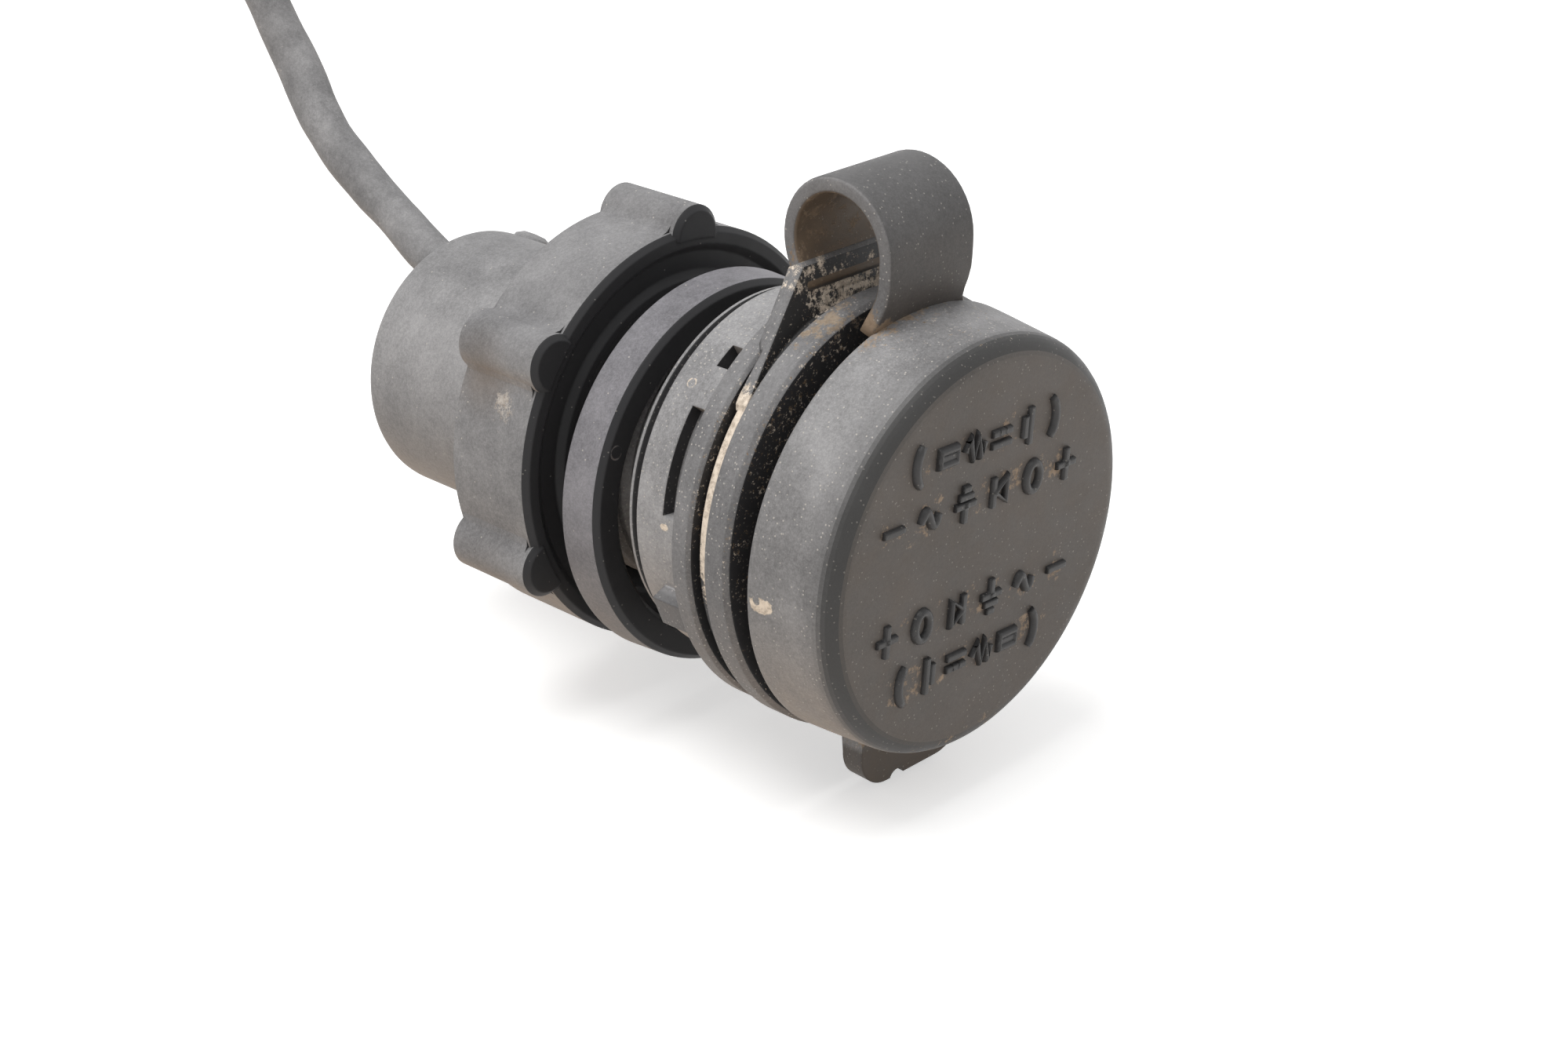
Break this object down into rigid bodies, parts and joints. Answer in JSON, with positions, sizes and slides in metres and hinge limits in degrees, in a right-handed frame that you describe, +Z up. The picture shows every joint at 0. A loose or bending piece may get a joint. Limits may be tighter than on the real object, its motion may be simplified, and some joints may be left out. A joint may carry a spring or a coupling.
{
  "type": "car 12v power socket",
  "caption": "Round weatherproof accessory socket with a strapped rubber cap, threaded barrel, lobed ring nut, rear boot and a sleeved lead.",
  "frame": {"origin": "on the socket's axis, in the plane of the rear flange's panel seat", "axes": "+Y runs back along the socket's axis from cap to lead, +Z is up towards the strap loop, +X to the right seen from the cap"},
  "size_m": [0.0397, 0.2302, 0.0678],
  "materials": {
    "housing_plastic": "matt, dusty",
    "cap_rubber": "matt, dusty",
    "nut_plastic": "satin, dusty",
    "spacer_plastic": "matt",
    "boot_rubber": "matt, dusty",
    "sleeve_metal": "plain",
    "contact_brass": "plain",
    "insulator": "matt",
    "board": "matt",
    "wire_red": "matt",
    "wire_black": "matt",
    "lead_sleeve": "matt",
    "connector_plastic": "satin"
  },
  "bodies": {
    "socket": {"socket_housing": "housing_plastic", "contact_sleeve": "sleeve_metal", "insulator_cup": "insulator", "insulator_disc": "board", "contact_spring": "sleeve_metal", "centre_rivet": "contact_brass", "positive_terminal": "contact_brass", "negative_terminal": "contact_brass", "positive_receptacle": "sleeve_metal", "negative_receptacle": "sleeve_metal", "positive_wire": "wire_red", "negative_wire": "wire_black", "rear_boot": "boot_rubber", "lead_grommet": "boot_rubber", "lead": "lead_sleeve", "positive_tail": "wire_red", "negative_tail": "wire_black", "connector_housing": "connector_plastic", "connector_pin_left": "contact_brass", "connector_pin_right": "contact_brass"},
    "strap": {"retaining_ring": "cap_rubber", "strap_loop": "cap_rubber"},
    "cap": {"cap": "cap_rubber"},
    "spacer": {"spacer_ring": "spacer_plastic"},
    "nut": {"ring_nut": "nut_plastic"},
    "button": {"centre_contact": "contact_brass"}
  },
  "joints": [
    {"name": "strap_turn", "type": "hinge", "parent": "socket", "child": "strap", "pos_m": [0, -0.003, 0], "axis": [0, 1, 0], "continuous": true},
    {"name": "cap_hinge", "type": "hinge", "parent": "strap", "child": "cap", "pos_m": [0, -0.0056, 0.0242], "axis": [-1, 0, 0], "range_deg": [-1, 150], "deforming": ["strap_loop"]},
    {"name": "ring_slide", "type": "slide", "parent": "socket", "child": "spacer", "axis": [0, 1, 0], "range_m": [-0.0022, 0.008]},
    {"name": "nut_turn", "type": "hinge", "parent": "spacer", "child": "nut", "pos_m": [0, 0.0225, 0], "axis": [0, 1, 0], "range_deg": [-394, 1430]},
    {"name": "contact_press", "type": "slide", "parent": "socket", "child": "button", "axis": [0, 1, 0], "range_m": [0, 0.002], "stiffness_N_per_m": 800, "springref_m": -0.001, "deforming": ["contact_spring"]}
  ],
  "couplings": [
    {"joint": "ring_slide", "follows": "nut_turn", "m_per_rad": 0.00031831}
  ]
}
